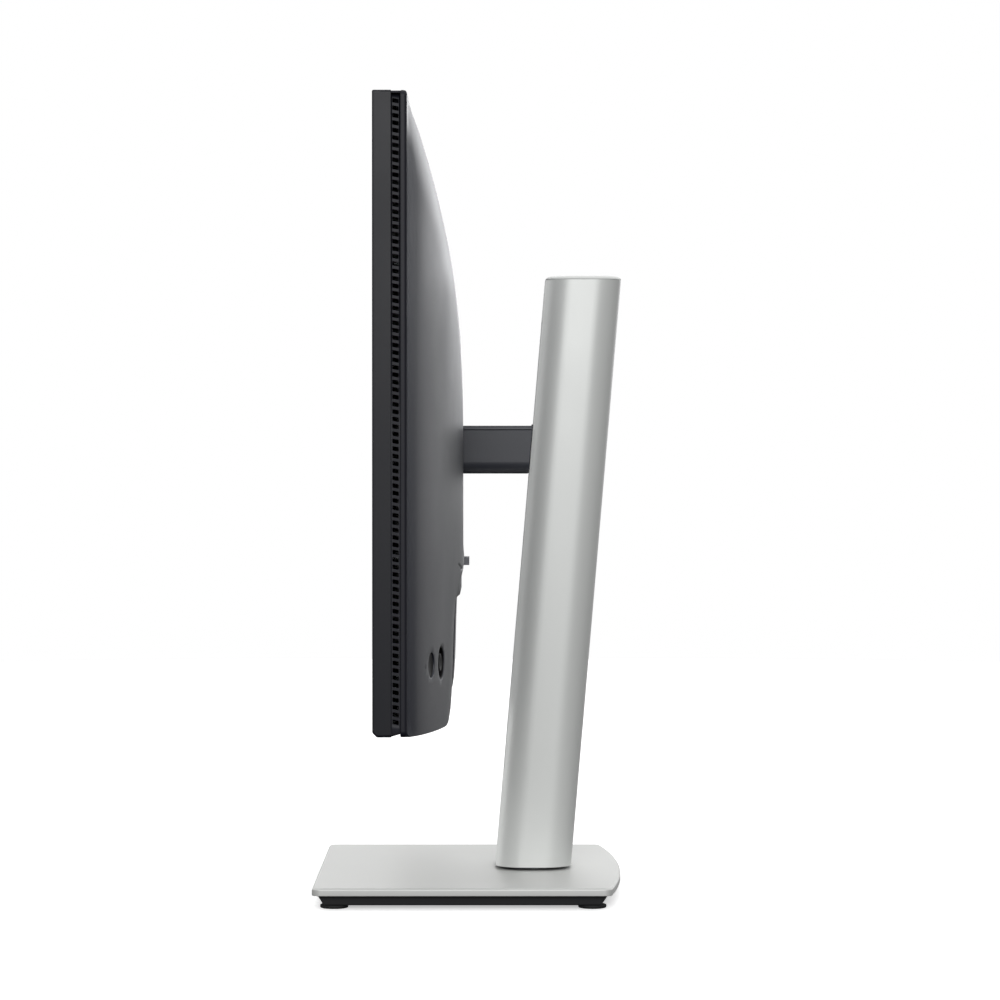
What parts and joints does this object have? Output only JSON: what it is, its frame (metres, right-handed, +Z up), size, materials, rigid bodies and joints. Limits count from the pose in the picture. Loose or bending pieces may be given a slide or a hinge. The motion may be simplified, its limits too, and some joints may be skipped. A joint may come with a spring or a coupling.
{
  "type": "computer monitor",
  "caption": "Flat widescreen display head with a domed back on a leaning height-adjustable column and a flat swivel base; the head tilts, pivots and comes off a quick-release plate.",
  "frame": {"origin": "on the desk, under the middle of the object's bounding box", "axes": "+X along the screen's width, to the right of someone who faces the screen; the screen faces -Y; +Z up"},
  "size_m": [0.6098, 0.1886, 0.4712],
  "materials": {
    "dark_shell": "fine matt grain",
    "vent_shell": "fine matt grain",
    "rear_shell": "fine matt grain",
    "screen": "anti-glare film",
    "steel": "zinc-plated sheet",
    "film": "white optical sheet",
    "guide": "clear acrylic",
    "led": "white strip",
    "board": "solder mask",
    "component": "moulded",
    "brass": "turned",
    "port": "nickel-plated shell",
    "port_dark": "moulded",
    "key": "satin",
    "lens": "clear lens",
    "label": "blank foil",
    "silver": "silver satin paint",
    "silver_plastic": "silver satin paint",
    "black_plastic": "matt",
    "rubber": "matt",
    "cast": "bare",
    "nylon": "self-coloured"
  },
  "bodies": {
    "base": {"base_top_plate": "silver", "base_bottom_cover": "black_plastic", "base_weight": "cast", "rubber_feet": "rubber", "swivel_washer": "nylon"},
    "column": {"column_shell": "silver_plastic", "column_cap": "silver_plastic", "column_rail": "steel", "spring_strips": "steel", "swivel_hub": "steel", "swivel_retainer": "steel"},
    "base_screw": {"captive_screw": "steel"},
    "bail": {"screw_bail": "steel"},
    "arm": {"carriage": "cast", "carriage_glides": "nylon", "arm_bracket": "steel", "arm_upper_cover": "rear_shell", "arm_lower_cover": "rear_shell", "tilt_pin": "steel", "tilt_washers": "nylon"},
    "drums": {"spring_drums": "steel"},
    "tilt_head": {"tilt_bracket": "steel", "pivot_rivet": "steel", "pivot_washer": "nylon"},
    "power_key": {"power_button": "key"},
    "stick_plunger": {"joystick_plunger": "nylon"},
    "stick_gimbal": {"joystick_gimbal": "nylon"},
    "stick": {"joystick_cap": "key"},
    "release_key": {"release_button": "key"},
    "latch": {"release_latch": "steel"},
    "head": {"front_bezel": "dark_shell", "lcd_panel": "screen", "panel_chassis": "steel", "optical_sheets": "film", "light_guide": "guide", "led_bar": "led", "panel_driver_board": "board", "vent_frame": "vent_shell", "back_cover": "rear_shell", "main_bracket": "steel", "vesa_inserts": "brass", "main_board": "board", "power_board": "board", "head_screws": "steel", "power_components": "component", "shield_can": "steel", "hdmi_port": "port", "displayport_port": "port", "vga_port": "port", "usb_b_port": "port", "usb_a_ports": "port", "ac_inlet": "port_dark", "io_plate": "steel", "lock_slot_insert": "steel", "rating_label": "label", "key_board": "board", "power_lamp_lens": "lens", "joystick_well": "key", "release_spring": "steel", "quick_release_plate": "steel"}
  },
  "joints": [
    {"name": "swivel", "type": "hinge", "parent": "base", "child": "column", "pos_m": [0, 0.0395, 0.0132], "axis": [0, 0, 1], "range_deg": [-45, 45]},
    {"name": "height_slide", "type": "slide", "parent": "column", "child": "arm", "axis": [0, 0.0849, 0.9964], "range_m": [-0.087, 0.063], "deforming": ["spring_strips"]},
    {"name": "spring_roll", "type": "hinge", "parent": "arm", "child": "drums", "pos_m": [0, 0.05958, 0.21467], "axis": [1, 0, 0], "range_deg": [-326, 450]},
    {"name": "tilt", "type": "hinge", "parent": "arm", "child": "tilt_head", "pos_m": [0, 0.00645, 0.2747], "axis": [-1, 0, 0], "range_deg": [-5, 21]},
    {"name": "pivot", "type": "hinge", "parent": "tilt_head", "child": "head", "pos_m": [0, -0.012, 0.2747], "axis": [0, 1, 0], "range_deg": [-5, 25]},
    {"name": "power_press", "type": "slide", "parent": "head", "child": "power_key", "axis": [0, -1, 0], "range_m": [0, 0.0008], "stiffness_N_per_m": 600, "springref_m": -0.0008},
    {"name": "stick_press", "type": "slide", "parent": "head", "child": "stick_plunger", "axis": [0, -1, 0], "range_m": [0, 0.0006], "stiffness_N_per_m": 800, "springref_m": -0.0008},
    {"name": "stick_nod", "type": "hinge", "parent": "stick_plunger", "child": "stick_gimbal", "pos_m": [0.241, -0.02925, 0.155], "axis": [1, 0, 0], "range_deg": [-7, 7], "stiffness_Nm_per_rad": 0.04},
    {"name": "stick_sway", "type": "hinge", "parent": "stick_gimbal", "child": "stick", "pos_m": [0.241, -0.02925, 0.155], "axis": [0, 0, 1], "range_deg": [-7, 7], "stiffness_Nm_per_rad": 0.04},
    {"name": "release_press", "type": "slide", "parent": "head", "child": "release_key", "axis": [0, -1, 0], "range_m": [0, 0.0025], "stiffness_N_per_m": 400, "springref_m": -0.001},
    {"name": "latch_drop", "type": "slide", "parent": "head", "child": "latch", "axis": [0, 0, -1], "range_m": [0, 0.003], "stiffness_N_per_m": 300, "springref_m": -0.001, "deforming": ["release_spring"]},
    {"name": "screw_turn", "type": "hinge", "parent": "column", "child": "base_screw", "pos_m": [0, 0.0395, 0.0072], "axis": [0, 0, 1], "continuous": true},
    {"name": "bail_fold", "type": "hinge", "parent": "base_screw", "child": "bail", "pos_m": [0, 0.0395, 0.0045], "axis": [-1, 0, 0], "range_deg": [0, 90]}
  ],
  "couplings": [
    {"joint": "spring_roll", "follows": "height_slide", "rad_per_m": -90.09},
    {"joint": "latch_drop", "follows": "release_press", "ratio": 1.2}
  ]
}
